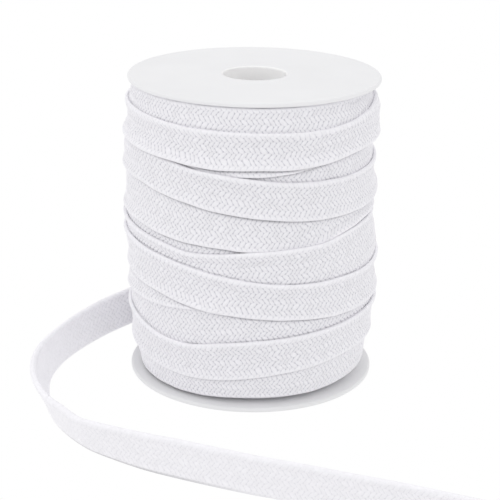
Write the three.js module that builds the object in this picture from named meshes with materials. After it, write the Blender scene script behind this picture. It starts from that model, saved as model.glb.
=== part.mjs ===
// A plastic spool wound with flat braided cotton cord, its loose end standing on edge beside it.
// Millimetres, +Z up. The origin lies on the surface that the spool stands on, on the spool's axis.
// The front is -Y, and an angle around the axis is measured from the front towards +X.

import * as THREE from 'three';

// The spool: two flanges with short spigots that plug into a core tube.
const SPOOL_HEIGHT = 99;
const FLANGE_RADIUS = 40;
const FLANGE_THICKNESS = 1.5;
const FLANGE_EDGE_ROUNDING = 0.7;
const BORE_RADIUS = 10;
const BORE_LIP_ROUNDING = 1;
const SPIGOT_WALL = 1;
const SPIGOT_LENGTH = 13;
const CORE_WALL = 1.5;
const FIT_GAP = 0.3;
const TURNED_SEGMENTS = 64;

// The cord: a flattened braided tube, pulled a little thinner where it is wound.
const CORD_WIDTH = 12.7;
const CORD_THICKNESS = 2;
const WOUND_THICKNESS = 1.3;

// The cord's rounded edge as shares of its thickness: how far in from the edge, and how far out from
// the middle plane. The middle of its width is a little thinner.
const CORD_EDGE_SHAPE = [
  { inset: 0, out: 0 },
  { inset: 0.15, out: 0.3 },
  { inset: 0.55, out: 0.5 },
];
const CORD_MIDDLE_OUT = 0.45;

// The winding's mean outer radius, from its lower end up to the upper flange.
const WINDING_PROFILE = [
  { z: 2, radius: 36.4 },
  { z: 7, radius: 37.7 },
  { z: 10, radius: 38.4 },
  { z: 15, radius: 39.3 },
  { z: 20, radius: 39.9 },
  { z: 30, radius: 40.4 },
  { z: 45, radius: 40.6 },
  { z: 60, radius: 40.2 },
  { z: 80, radius: 40.3 },
  { z: 90, radius: 40.3 },
  { z: 95, radius: 39.2 },
  { z: 97.2, radius: 38.2 },
];
const WINDING_SEGMENTS = 72;
const WRAP_EDGE_ROUNDING = 1;
const WRAP_EDGE_DROP = 0.6;
const WRAP_CREVICE = 0.3;
const WRAP_CROWN = 0.25;

// The edges that show between one wrap and the next, from the bottom up. A height every 30 degrees
// around, starting at the back, and which of the two wraps lies on top there.
//            back  -150  -120   -90   -60   -30 front    30    60    90   120   150
const WRAP_EDGES = [
  { over: 'none', z: [3.2, 3.0, 2.8, 2.6, 2.5, 2.6, 3.6, 3.4, 4.4, 4.8, 4.0, 3.6] },
  { over: 'above', z: [10.0, 8.5, 9.0, 11.0, 10.6, 9.3, 11.3, 13.6, 15.2, 15.0, 13.5, 11.5] },
  { over: 'below', z: [22.5, 24.5, 26.3, 26.0, 23.0, 21.2, 24.1, 25.6, 27.0, 27.0, 25.5, 23.5] },
  { over: 'above', z: [35.5, 36.5, 37.3, 37.4, 36.6, 34.2, 31.9, 29.9, 29.4, 30.0, 31.5, 33.5] },
  { over: 'below', z: [49.0, 50.0, 50.5, 50.3, 49.4, 47.3, 44.2, 42.7, 41.8, 42.5, 44.5, 47.0] },
  { over: 'below', z: [57.2, 56.8, 56.4, 55.8, 54.8, 52.6, 53.5, 54.6, 56.8, 57.5, 57.6, 57.6] },
  { over: 'above', z: [67.0, 68.5, 69.5, 70.2, 69.9, 66.9, 63.9, 62.0, 61.5, 62.5, 64.0, 65.5] },
  { over: 'below', z: [77.5, 79.0, 79.7, 79.8, 79.3, 78.3, 76.2, 74.0, 73.2, 73.5, 74.5, 76.0] },
  { over: 'above', z: [79.0, 80.0, 80.5, 80.6, 80.3, 79.2, 78.8, 79.0, 80.6, 78.5, 77.5, 78.0] },
  { over: 'below', z: [90.5, 90.5, 91.0, 91.8, 91.5, 90.5, 90.2, 90.0, 92.0, 93.5, 93.0, 91.5] },
];
const WINDING_TOP = SPOOL_HEIGHT - FLANGE_THICKNESS - FIT_GAP;

// The loose end's lower edge, from where it leaves the winding to its cut end: its place, how high
// it is above the surface, and how many degrees the cord leans out of its bend.
const LOOSE_END_ROUTE = [
  { x: -25.8, y: 31.3, rise: 8.2, lean: 7 },
  { x: -33.0, y: 25.5, rise: 7.3, lean: 5 },
  { x: -40.0, y: 19.5, rise: 6.1, lean: 4 },
  { x: -45.0, y: 15.5, rise: 5.1, lean: 5 },
  { x: -50.0, y: 11.5, rise: 4.0, lean: 5 },
  { x: -54.5, y: 7.1, rise: 2.9, lean: 4 },
  { x: -58.3, y: 2.7, rise: 1.9, lean: 4 },
  { x: -61.5, y: -2.3, rise: 1.1, lean: 4 },
  { x: -63.7, y: -7.7, rise: 0.5, lean: 7 },
  { x: -65.0, y: -13.2, rise: 0.2, lean: 11 },
  { x: -65.5, y: -19.0, rise: 0.1, lean: 15 },
  { x: -65.0, y: -26.0, rise: 0.1, lean: 20 },
  { x: -63.5, y: -34.0, rise: 0.1, lean: 23 },
  { x: -61.0, y: -42.5, rise: 0.1, lean: 24 },
  { x: -57.5, y: -51.0, rise: 0.1, lean: 23 },
  { x: -52.5, y: -59.0, rise: 0.1, lean: 20 },
  { x: -46.5, y: -66.0, rise: 0.1, lean: 22 },
  { x: -39.0, y: -72.0, rise: 0.1, lean: 15 },
  { x: -30.0, y: -78.0, rise: 0.1, lean: 8 },
  { x: -20.0, y: -83.0, rise: 0.1, lean: 3 },
  { x: -8.5, y: -88.0, rise: 0.1, lean: 3 },
  { x: 3.0, y: -92.5, rise: 0.1, lean: 4 },
  { x: 15.0, y: -96.5, rise: 0.1, lean: 5 },
  { x: 28.0, y: -101.5, rise: 0.1, lean: 5 },
  { x: 41.0, y: -106.5, rise: 0.1, lean: 4 },
  { x: 54.0, y: -112.0, rise: 0.1, lean: 4 },
  { x: 66.0, y: -117.0, rise: 0.1, lean: 4 },
];
const STEPS_PER_ROUTE_ROW = 3;

const plastic = new THREE.MeshStandardMaterial({ color: '#f1f1f2', roughness: 0.42, metalness: 0 });
const cotton = new THREE.MeshStandardMaterial({ color: '#ecebef', roughness: 0.92, metalness: 0 });

function degrees(angle) {
  return (angle * Math.PI) / 180;
}

function mix(a, b, share) {
  return a + (b - a) * share;
}

// A smooth curve around the axis through equally spaced values, the first of them at the back.
function around(values, angle) {
  const count = values.length;
  const place = ((((angle + 180) / 360) * count) % count + count) % count;
  const index = Math.floor(place);
  const f = place - index;
  const [a, b, c, d] = [-1, 0, 1, 2].map((step) => values[(index + step + count) % count]);
  return b + 0.5 * f * (c - a + f * (2 * a - 5 * b + 4 * c - d + f * (3 * (b - c) + d - a)));
}

function windingRadius(z) {
  const above = WINDING_PROFILE.findIndex((row) => row.z >= z);
  if (above === 0) return WINDING_PROFILE[0].radius;
  if (above < 0) return WINDING_PROFILE.at(-1).radius;
  const [low, high] = [WINDING_PROFILE[above - 1], WINDING_PROFILE[above]];
  return mix(low.radius, high.radius, (z - low.z) / (high.z - low.z));
}

// A solid turned about the axis from a closed outline of [radius, height] points.
function turned(outline) {
  const points = [...outline, outline[0]].map(([radius, height]) => new THREE.Vector2(radius, height));
  return new THREE.LatheGeometry(points, TURNED_SEGMENTS).rotateX(Math.PI / 2);
}

// A quarter of a circle as [radius, height] points.
function corner(radius, height, rounding, fromAngle, toAngle, steps = 4) {
  return Array.from({ length: steps + 1 }, (_, step) => {
    const angle = degrees(mix(fromAngle, toAngle, step / steps));
    return [radius + rounding * Math.cos(angle), height + rounding * Math.sin(angle)];
  });
}

// A flange with its spigot, its outer face at height 0 and its spigot reaching down.
function flangeOutline() {
  const spigotRadius = BORE_RADIUS + SPIGOT_WALL;
  const edge = FLANGE_EDGE_ROUNDING;
  const lip = BORE_LIP_ROUNDING;
  return [
    [BORE_RADIUS, -SPIGOT_LENGTH],
    [spigotRadius, -SPIGOT_LENGTH],
    [spigotRadius, -FLANGE_THICKNESS],
    ...corner(FLANGE_RADIUS - edge, edge - FLANGE_THICKNESS, edge, -90, 0, 3),
    ...corner(FLANGE_RADIUS - edge, -edge, edge, 0, 90, 3),
    ...corner(BORE_RADIUS + lip, -lip, lip, 90, 180, 4),
  ];
}

// A closed surface from rings of points that are themselves arranged in a ring.
function closedRings(rings) {
  const perRing = rings[0].length;
  const index = [];
  rings.forEach((_, i) => {
    const next = (i + 1) % rings.length;
    for (let j = 0; j < perRing; j += 1) {
      const k = (j + 1) % perRing;
      const [a, b, c, d] = [i * perRing + j, next * perRing + j, next * perRing + k, i * perRing + k];
      index.push(a, b, c, a, c, d);
    }
  });
  return indexedGeometry(rings, index);
}

// A closed surface from rings in a row, with a flat cap on each end.
function cappedRings(rings) {
  const perRing = rings[0].length;
  const index = [];
  for (let i = 0; i + 1 < rings.length; i += 1) {
    for (let j = 0; j < perRing; j += 1) {
      const k = (j + 1) % perRing;
      const [a, b] = [i * perRing + j, i * perRing + k];
      index.push(a, b, b + perRing, a, b + perRing, a + perRing);
    }
  }
  const last = (rings.length - 1) * perRing;
  for (let j = 1; j + 1 < perRing; j += 1) {
    index.push(0, j + 1, j, last, last + j, last + j + 1);
  }
  return indexedGeometry(rings, index);
}

function indexedGeometry(rings, index) {
  const geometry = new THREE.BufferGeometry().setFromPoints(rings.flat());
  geometry.setIndex(index);
  geometry.computeVertexNormals();
  return geometry;
}

// One wrap's visible face at one angle, as [radius, height] points from its lower edge up. An edge
// that lies on top stands half a cord's thickness proud, and an edge that is covered lies as deep.
function wrapFace(low, high, lowEdgeOnTop, highEdgeOnTop) {
  const bottom = low + WRAP_CREVICE / 2;
  const top = high - WRAP_CREVICE / 2;
  const rounding = Math.min(WRAP_EDGE_ROUNDING, (top - bottom) / 4);
  const half = WOUND_THICKNESS / 2;
  const lowLift = lowEdgeOnTop ? half : -half;
  const highLift = highEdgeOnTop ? half : -half;
  const lowDrop = lowEdgeOnTop ? WRAP_EDGE_DROP : 0;
  const highDrop = highEdgeOnTop ? WRAP_EDGE_DROP : 0;
  const middle = (bottom + top) / 2;
  return [
    [windingRadius(bottom) + lowLift - lowDrop, bottom],
    [windingRadius(bottom) + lowLift, bottom + rounding],
    [windingRadius(middle) + (lowLift + highLift) / 2 + WRAP_CROWN, middle],
    [windingRadius(top) + highLift, top - rounding],
    [windingRadius(top) + highLift - highDrop, top],
  ];
}

// The winding's whole section at one angle: its inner wall, its lower end, the wraps and its top.
function windingSection(angle, innerRadius) {
  const heights = WRAP_EDGES.map((edge) => around(edge.z, angle));
  const faces = WRAP_EDGES.flatMap((edge, i) => {
    const next = WRAP_EDGES[i + 1];
    const high = next ? heights[i + 1] : WINDING_TOP;
    return wrapFace(heights[i], high, edge.over === 'above', next ? next.over === 'below' : false);
  });
  const outline = [[innerRadius, heights[0]], ...faces, [innerRadius, WINDING_TOP]];
  const turn = degrees(angle);
  return outline.map(([radius, z]) => new THREE.Vector3(radius * Math.sin(turn), -radius * Math.cos(turn), z));
}

function windingGeometry(innerRadius) {
  const sections = Array.from({ length: WINDING_SEGMENTS }, (_, i) => (
    windingSection((360 / WINDING_SEGMENTS) * i - 180, innerRadius)
  ));
  return closedRings(sections);
}

// The flat cord's section, across its width and out from its middle plane.
function cordSection() {
  const edge = CORD_EDGE_SHAPE.map(({ inset, out }) => (
    [CORD_WIDTH / 2 - inset * CORD_THICKNESS, out * CORD_THICKNESS]
  ));
  const otherEdge = edge.slice(1).reverse().map(([across, out]) => [-across, out]);
  const upper = [...edge, [0, CORD_MIDDLE_OUT * CORD_THICKNESS], ...otherEdge];
  return [...upper, ...upper.map(([across, out]) => [-across, -out])];
}

// The loose end stands on its lower edge and leans out of its bend.
function looseEndGeometry() {
  const feet = LOOSE_END_ROUTE.map((row) => new THREE.Vector3(row.x, row.y, row.rise));
  const curve = new THREE.CatmullRomCurve3(feet, false, 'centripetal');
  const spans = LOOSE_END_ROUTE.length - 1;
  const count = spans * STEPS_PER_ROUTE_ROW;
  const section = cordSection();
  const up = new THREE.Vector3(0, 0, 1);
  const rings = Array.from({ length: count + 1 }, (_, step) => {
    const place = (step / count) * spans;
    const row = Math.min(Math.floor(place), spans - 1);
    const lean = degrees(mix(LOOSE_END_ROUTE[row].lean, LOOSE_END_ROUTE[row + 1].lean, place - row));
    const along = curve.getTangent(step / count);
    const outward = along.clone().cross(up).normalize();
    const upright = outward.clone().cross(along).normalize();
    const across = upright.clone().multiplyScalar(Math.cos(lean)).addScaledVector(outward, Math.sin(lean));
    const face = outward.clone().multiplyScalar(Math.cos(lean)).addScaledVector(upright, -Math.sin(lean));
    const centre = curve.getPoint(step / count).addScaledVector(across, CORD_WIDTH / 2);
    return section.map(([width, depth]) => (
      centre.clone().addScaledVector(across, width).addScaledVector(face, depth)
    ));
  });
  return cappedRings(rings);
}

function part(name, geometry, material) {
  const mesh = new THREE.Mesh(geometry, material);
  mesh.name = name;
  return mesh;
}

const coreInnerRadius = BORE_RADIUS + SPIGOT_WALL + FIT_GAP;
const coreOuterRadius = coreInnerRadius + CORE_WALL;
const coreBottom = FLANGE_THICKNESS + FIT_GAP;
const coreTop = SPOOL_HEIGHT - FLANGE_THICKNESS - FIT_GAP;

const flangeTop = part('flange_top', turned(flangeOutline()), plastic);
flangeTop.position.z = SPOOL_HEIGHT;

const flangeBottom = part('flange_bottom', turned(flangeOutline()), plastic);
flangeBottom.rotation.x = Math.PI;

const coreTube = part('core_tube', turned([
  [coreInnerRadius, coreBottom],
  [coreOuterRadius, coreBottom],
  [coreOuterRadius, coreTop],
  [coreInnerRadius, coreTop],
]), plastic);

const woundCord = part('wound_cord', windingGeometry(coreOuterRadius + FIT_GAP), cotton);
const looseEnd = part('loose_end', looseEndGeometry(), cotton);

const spool = new THREE.Group();
spool.name = 'spool';
spool.add(flangeTop, flangeBottom, coreTube);

const roll = new THREE.Group();
roll.name = 'roll_of_cotton_cord';
roll.add(spool, woundCord, looseEnd);

export default roll;
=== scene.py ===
# A plastic spool wound with flat braided cotton cord, its loose end standing on edge beside it.
# Metres, +Z up. The front is -Y, and an angle around the axis runs from the front towards +X.

import math

import bmesh
import bpy
import numpy as np
from mathutils import Matrix, Vector


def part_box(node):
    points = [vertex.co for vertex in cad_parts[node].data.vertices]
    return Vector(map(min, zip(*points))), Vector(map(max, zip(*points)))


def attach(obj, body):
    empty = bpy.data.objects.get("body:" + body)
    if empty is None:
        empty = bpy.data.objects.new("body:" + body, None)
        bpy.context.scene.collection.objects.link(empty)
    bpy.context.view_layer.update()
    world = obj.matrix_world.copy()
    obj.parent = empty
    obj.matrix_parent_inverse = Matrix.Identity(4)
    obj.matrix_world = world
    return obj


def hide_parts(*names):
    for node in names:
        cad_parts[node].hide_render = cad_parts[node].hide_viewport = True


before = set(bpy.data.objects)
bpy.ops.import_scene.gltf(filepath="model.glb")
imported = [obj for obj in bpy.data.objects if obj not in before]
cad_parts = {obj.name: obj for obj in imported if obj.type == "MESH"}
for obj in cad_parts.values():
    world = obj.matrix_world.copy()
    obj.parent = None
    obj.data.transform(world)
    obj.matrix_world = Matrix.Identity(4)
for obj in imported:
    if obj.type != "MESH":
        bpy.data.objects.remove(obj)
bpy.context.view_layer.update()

MM = 0.001
random = np.random.default_rng(11)

# The camera stands in front of the roll and looks down on it. Its lens and sensor are in millimetres.
CAMERA_PLACE = (-0.00069, -0.45596, 0.20208)
CAMERA_DOWN_DEGREES = 19.598
CAMERA_ROLL_DEGREES = 0.777
CAMERA_LENS = 106.12
CAMERA_SENSOR = 36

# The cord: a flattened braided tube, thinner where it is wound.
CORD_WIDTH = 12.7 * MM
CORD_THICKNESS = 2.0 * MM
WOUND_THICKNESS = 1.3 * MM
# Its two edges are fat folds, and the body between them has this share of a fold's thickness. A fold is
# full up to this share of its thickness from the edge, and thins out over the last distance.
BODY_SHARE = 0.74
FOLD_SHARE = 0.45
FOLD_FADE = 1.6 * MM
# The grid turns around the rounded edges at these angles.
EDGE_BEND_DEGREES = (0, 30, 60)

# The braid: each strand passes over two and under two. One repeat is a strand's width on the slant.
REPEATS_AROUND_CORD = 14
REPEAT_ACROSS = 2 * CORD_WIDTH / REPEATS_AROUND_CORD
# One turn around the roll is this long, and holds this many repeats.
ROLL_AROUND = 2 * math.pi * 40.6 * MM
REPEATS_AROUND = 153
REPEAT_ALONG = ROLL_AROUND / REPEATS_AROUND
SAMPLES_PER_REPEAT = 4
STEP_ALONG = REPEAT_ALONG / SAMPLES_PER_REPEAT
STRANDS_PASSED = 2
YARNS_IN_STRAND = 4
# A strand is fuller with a smaller power. Beside its own height of 1, it rises and falls by the crimp.
STRAND_ROUNDNESS = 0.7
STRAND_CRIMP = 0.8
# The relief's size, and the height in it, from 0 to 1, that lies on the smooth surface.
BRAID_RELIEF = 0.48 * MM
BRAID_MIDDLE = 0.6
# At the cord's edges the braid opens to this share, and between these distances in it opens in full.
# Its painted shade grows with how open it is.
RIM_OPENNESS = 0.12
RIM_OPENS = (0.2 * MM, 1.8 * MM)
# The back of a wrap has no relief, and one column for this many of the front's.
FLAT_BACK_STEP = 6
# How fat each strand is, for the strands that slant one way and the other.
STRAND_FATNESS = random.uniform(0.85, 1.15, (2, REPEATS_AROUND))
# Slow waves that push the strands about: how often each comes around the roll, its slant, and its size
# along the cord and across it. Its phase is read from its slant.
PUSH_COUNT = 26
PUSHES = [(int(random.integers(8, 55)), random.uniform(-0.3, 0.3), *random.uniform(-1, 1, 2))
          for _ in range(PUSH_COUNT)]
PUSH_SIZE = 0.05
PUSH_PHASE_PER_SLANT = 50

# The cotton's colour on top of a strand, and the painted shade deep between strands. The shade is full
# below the first of these heights in the relief, and gone above the second.
COTTON_LIGHT = (0.94, 0.93, 0.965)
COTTON_DEEP_SHADE = (0.60, 0.595, 0.655)
DEEP_AND_LIGHT_HEIGHTS = (0.05, 0.65)
# The painted shade in the depths is uneven: this much at least, and more by the spread.
DEPTH_SHADE = 0.55
SHADE_SPREAD = 0.9
# How much the cotton's whiteness varies at random, and how much painted shade darkens an open braid
# and a deep crease.
MOTTLE = 0.12
BODY_SHADE = 0.04
BITE_SHADE = 0.35
# Its fine bumps are fibres. The yarns and the strands add these shares to them.
COTTON_BUMP = 0.1 * MM
COTTON_BUMP_STRENGTH = 0.7
YARN_BUMP = 0.25
STRAND_BUMP = 2.0
# About how many patches of each of its patterns there are to a metre.
FIBRE_FINENESS = 5200
SPECK_FINENESS = 1300
MOTTLE_FINENESS = 800

# The white plastic's dullest and cleanest colour. The lower flange's copy is a little greyer, as
# painted shade from the roll above it. The bore's wall gets a lighter colour, as painted light, and it
# fades out between these distances from the axis.
PLASTIC = ((0.82, 0.82, 0.833), (0.845, 0.845, 0.858))
SHADED_LOWER_PLASTIC = ((0.78, 0.78, 0.79), (0.80, 0.80, 0.81))
BORE_PAINTED_LIGHT = (0.985, 0.98, 0.98)
BORE_PAINTED_LIGHT_FADES = (10.1 * MM, 10.5 * MM)
# The colour flows slowly from dull to clean, and a fine grain roughens the surface.
FLOW_FINENESS = 45
FLOW_RANGE = (0.3, 0.7)
GRAIN_FINENESS = 1400
GRAIN_BUMP = 0.02 * MM
GRAIN_BUMP_STRENGTH = 0.35
PLASTIC_ROUGHNESS = 0.42
ROUGHNESS_SPREAD = 0.12

# The spool: its flanges, the spigots on them that fit inside the hub, and the hub.
FLANGE_THICKNESS = 1.5 * MM
FLANGE_ROUNDING = 0.7 * MM
FLANGE_SEGMENTS = 256
BORE_RADIUS = 10 * MM
BORE_LIP = 0.6 * MM
SPIGOT_WALL = 1 * MM
SPIGOT_BEVEL = 0.3 * MM
HUB_WALL = 1.5 * MM
HUB_SEGMENTS = 128

# The loose end's lower edge, from where it leaves the winding to its cut end: its place, its height
# above the surface, and how many degrees the cord leans out of its bend.
LOOSE_END_ROUTE = [
    (-0.0258, 0.0313, 0.0082, 7),
    (-0.0330, 0.0255, 0.0073, 5),
    (-0.0400, 0.0195, 0.0061, 4),
    (-0.0450, 0.0155, 0.0051, 5),
    (-0.0500, 0.0115, 0.0040, 5),
    (-0.0545, 0.0071, 0.0029, 4),
    (-0.0583, 0.0027, 0.0019, 4),
    (-0.0615, -0.0023, 0.0011, 4),
    (-0.0637, -0.0077, 0.0005, 7),
    (-0.0650, -0.0132, 0.0002, 11),
    (-0.0655, -0.0190, 0.0001, 15),
    (-0.0650, -0.0260, 0.0001, 20),
    (-0.0635, -0.0340, 0.0001, 23),
    (-0.0610, -0.0425, 0.0001, 24),
    (-0.0575, -0.0510, 0.0001, 23),
    (-0.0525, -0.0590, 0.0001, 20),
    (-0.0465, -0.0660, 0.0001, 22),
    (-0.0390, -0.0720, 0.0001, 15),
    (-0.0300, -0.0780, 0.0001, 8),
    (-0.0200, -0.0830, 0.0001, 3),
    (-0.0085, -0.0880, 0.0001, 3),
    (0.0030, -0.0925, 0.0001, 4),
    (0.0150, -0.0965, 0.0001, 5),
    (0.0280, -0.1015, 0.0001, 5),
    (0.0410, -0.1065, 0.0001, 4),
    (0.0540, -0.1120, 0.0001, 4),
    (0.0660, -0.1170, 0.0001, 4),
]
# Its curve has this many steps between two rows.
STEPS_PER_ROW = 24
# It swells from its wound thickness to its own over this distance.
SWELLS_OVER = 20 * MM
# How open its braid is, at these distances along it, which also sets its painted shade. It is smooth in
# its bend.
LOOSE_OPENNESS = [(0, 0.8), (0.03, 0.5), (0.055, 0.1), (0.1, 0.1), (0.13, 0.35), (0.25, 0.4)]
# Its lower edge has painted shade in front of the roll, where it lies on the floor. That comes and goes
# over these distances along it, and fades out over the last ones across it.
EDGE_SHADE_COMES = (0.09, 0.115)
EDGE_SHADE_GOES = (0.14, 0.19)
EDGE_SHADE_FADES = (0.7 * MM, 1.5 * MM)

# The winding's outer radius at each height in millimetres: on its left, at its front and back, and on
# its right.
WINDING_PROFILE = [
    (2, 36.4, 36.4, 36.2),
    (7, 37.7, 37.7, 37.9),
    (10, 38.4, 38.4, 38.0),
    (15, 39.3, 39.3, 38.8),
    (20, 39.9, 39.9, 39.9),
    (30, 39.9, 40.4, 40.4),
    (38, 39.9, 40.5, 39.9),
    (45, 41.0, 40.6, 40.6),
    (51, 41.0, 40.4, 39.7),
    (55, 41.0, 40.3, 38.2),
    (60, 41.0, 40.2, 38.5),
    (65, 41.0, 40.2, 39.7),
    (70, 41.0, 40.2, 38.7),
    (77, 41.6, 40.3, 38.2),
    (82, 39.6, 40.3, 38.4),
    (86, 40.3, 40.3, 40.0),
    (90, 40.3, 40.3, 40.0),
    (93, 39.7, 39.9, 37.9),
    (95, 39.2, 39.6, 37.0),
    (97.2, 38.2, 39.1, 36.6),
]
# The layers below the outermost wraps: how deep under that radius they lie, the heights in millimetres
# of their outline, how far its foot is drawn in, and the radius of their bore.
INNER_LAYERS_DEPTH = 1.35 * MM
INNER_LAYERS_HEIGHTS = [2.2, 4, 8, 12, 20, 30, 45, 60, 75, 90, 94, 97.0]
INNER_LAYERS_FOOT = 0.8 * MM
INNER_LAYERS_BORE = 13.3 * MM
INNER_LAYERS_SEGMENTS = 180

# The edges of the outermost wraps: heights in millimetres at these angles, all the way around.
EDGE_ANGLES = [-180, -150, -120, -90, -75, -60, -45, -30, -15, 0, 15, 30, 45, 60, 75, 90, 120, 150]
EDGE_HEIGHTS = {
    "roll_bottom": [3.2, 3.0, 2.8, 2.6, 2.5, 2.5, 2.5, 2.6, 3.0,
                    3.6, 3.5, 3.4, 3.9, 4.4, 4.7, 4.8, 4.0, 3.6],
    "last_lower": [10.0, 8.9, 12.4, 12.2, 11.4, 10.6, 9.7, 9.3, 9.9,
                   11.3, 12.6, 13.6, 14.7, 15.2, 15.3, 15.0, 13.5, 11.5],
    "last_upper": [22.6, 25.0, 25.8, 25.3, 24.6, 23.0, 21.5, 21.1, 22.8,
                   24.1, 24.9, 25.6, 26.3, 27.0, 27.2, 27.0, 25.5, 23.5],
    "second_edge": [31.0, 30.4, 29.8, 29.6, 30.2, 30.9, 31.5, 32.6, 33.7,
                    34.2, 33.5, 33.0, 32.5, 32.3, 32.4, 32.6, 32.4, 31.6],
    "third_lower": [35.5, 36.5, 37.3, 37.4, 37.2, 36.6, 35.7, 34.4, 33.1,
                    31.9, 31.0, 30.1, 29.5, 29.4, 29.6, 30.0, 31.5, 33.5],
    "third_upper": [49.0, 50.0, 50.5, 50.3, 49.9, 49.4, 48.5, 47.1, 45.4,
                    43.8, 42.6, 42.0, 42.0, 41.7, 42.0, 42.5, 44.5, 47.0],
    "fourth_rim": [56.8, 56.4, 56.0, 55.4, 54.8, 54.0, 53.0, 51.7, 52.2,
                   53.5, 54.0, 54.6, 55.9, 56.6, 57.0, 57.4, 58.0, 57.5],
    "fifth_lower": [57.8, 57.5, 57.2, 57.0, 56.8, 56.4, 55.2, 54.4, 54.0,
                    53.1, 52.4, 53.4, 55.9, 57.3, 57.6, 57.5, 57.2, 57.6],
    "sixth_lower": [67.0, 68.5, 69.5, 70.2, 70.1, 69.9, 68.5, 66.9, 65.3,
                    63.9, 62.8, 62.0, 61.7, 61.6, 61.9, 62.5, 64.0, 65.5],
    "sixth_upper": [79.2, 80.8, 82.0, 82.6, 82.6, 82.2, 80.4, 78.5, 77.5,
                    76.2, 74.9, 74.2, 73.8, 73.9, 74.2, 74.8, 76.2, 77.7],
    "seventh_edge": [80.0, 80.6, 81.0, 81.1, 81.0, 80.8, 80.3, 78.6, 76.6,
                     76.6, 77.4, 78.8, 79.9, 80.6, 80.8, 80.6, 80.0, 79.6],
    "eighth_lower": [78.8, 80.0, 80.5, 80.6, 80.5, 80.3, 80.0, 79.2, 78.6,
                     78.9, 78.8, 79.3, 80.5, 81.2, 81.4, 81.3, 80.2, 79.0],
    "eighth_upper": [90.5, 91.2, 91.8, 92.0, 91.9, 91.6, 91.0, 90.5, 90.3,
                     90.2, 90.0, 90.0, 90.7, 92.0, 93.0, 93.5, 93.0, 91.5],
    "roll_top": [97.2] * len(EDGE_ANGLES),
}
# How deep an edge bites into what lies under it, from 0 to 1 at the same angles: a real groove, and as
# much painted shade in it.
EDGE_BITES = {
    "eighth_lower": [0.4, 0.4, 0.4, 0.4, 0.4, 0.5, 0.8, 1.0, 1.0,
                     1.0, 0.9, 0.5, 0.3, 0.2, 0.2, 0.3, 0.4, 0.4],
    "seventh_edge": [0.3, 0.3, 0.3, 0.3, 0.2, 0.1, 0.0, 0.0, 0.2,
                     0.5, 0.6, 0.6, 0.6, 0.6, 0.4, 0.3, 0.3, 0.3],
    "sixth_lower": [0.4, 0.4, 0.4, 0.5, 0.6, 0.7, 0.9, 1.0, 1.0,
                    1.0, 0.9, 0.6, 0.5, 0.4, 0.3, 0.3, 0.4, 0.4],
    "fifth_lower": [0.3, 0.3, 0.3, 0.4, 0.5, 0.6, 0.8, 0.9, 0.9,
                    0.7, 0.3, 0.2, 0.2, 0.2, 0.2, 0.3, 0.3, 0.3],
    "third_lower": [0.3, 0.3, 0.3, 0.3, 0.4, 0.6, 0.7, 0.8, 0.8,
                    0.8, 0.8, 0.7, 0.5, 0.3, 0.3, 0.3, 0.3, 0.3],
    "third_upper": [0.3, 0.3, 0.3, 0.3, 0.4, 0.5, 0.5, 0.5, 0.5,
                    0.5, 0.5, 0.5, 0.5, 0.4, 0.3, 0.3, 0.3, 0.3],
    "sixth_upper": [0.2] * len(EDGE_ANGLES),
    "eighth_upper": [0.2] * len(EDGE_ANGLES),
    "last_upper": [0.3, 0.3, 0.3, 0.3, 0.4, 0.5, 0.5, 0.5, 0.5,
                   0.5, 0.5, 0.5, 0.5, 0.5, 0.4, 0.3, 0.3, 0.3],
    "last_lower": [0.3, 0.3, 0.3, 0.2, 0.2, 0.2, 0.3, 0.4, 0.4,
                   0.4, 0.4, 0.4, 0.4, 0.4, 0.3, 0.3, 0.3, 0.3],
}
# The edges with which each wrap bites into others: its lower and its upper one.
BITING_EDGES = {
    "wrap_fifth": ("fifth_lower", None),
    "wrap_third": ("third_lower", "third_upper"),
    "wrap_seventh": ("seventh_edge", None),
    "wrap_sixth": ("sixth_lower", "sixth_upper"),
    "wrap_eighth": ("eighth_lower", "eighth_upper"),
    "wrap_last": ("last_lower", "last_upper"),
}
# A bite and its painted shade reach this far below a lower edge, and above an upper one, then fade out.
# The bite takes this share of the thickness of the cord that it bites.
BITE_BELOW = 0.45 * MM
BITE_ABOVE = 0.1 * MM
BITE_FADE = 0.4 * MM
BITE_DEPTH = 0.6
# How far a wrap reaches under the one that lies on its edge, and how wide it is at least.
TUCK = 2.2 * MM
LEAST_WIDTH = 2.0 * MM
# Wraps whose upper edge shows, so that the braid is laid out from there.
UPPER_EDGE_SHOWS = ("wrap_top", "wrap_fourth")
# On each wrap the braid starts at one of this many repeats, picked at random.
BRAID_STARTS = 40

# The last wrap goes once around and its end leaves the winding. The heights in millimetres of its two
# edges, from where it comes out from under its own end.
LAST_WRAP_ROUTE = [
    (-178, 10.6, 22.0),
    (-165, 11.6, 24.0),
    (-150, 12.4, 25.0),
    (-120, 12.8, 25.4),
    (-90, 12.2, 25.0),
    (-75, 11.4, 24.4),
    (-60, 10.6, 23.0),
    (-45, 9.7, 21.5),
    (-30, 9.3, 21.1),
    (-15, 9.9, 22.8),
    (0, 11.3, 24.1),
    (15, 12.6, 24.9),
    (30, 13.6, 25.6),
    (45, 14.7, 26.3),
    (60, 15.2, 27.0),
    (75, 15.3, 27.4),
    (90, 15.0, 27.3),
    (120, 13.3, 25.8),
    (150, 11.3, 23.9),
    (180, 9.6, 22.2),
    (200, 8.6, 21.2),
    (219.5, 8.2, 20.8),
]
# It lifts off the roll from this angle on.
LAST_WRAP_LIFTS_OFF = 190
# From this angle on it climbs onto its own start, within this span. It can lie on what was laid down up
# to a margin before that angle.
OVER_ITSELF_FROM = 120
CLIMBS_WITHIN = 30
START_MARGIN = 20

# The roll's surface, as a grid of angles and heights.
ANGLES_AROUND = REPEATS_AROUND * SAMPLES_PER_REPEAT
HEIGHT_STEP = 0.25 * MM
GRID_TOP = 99.5 * MM
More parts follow.
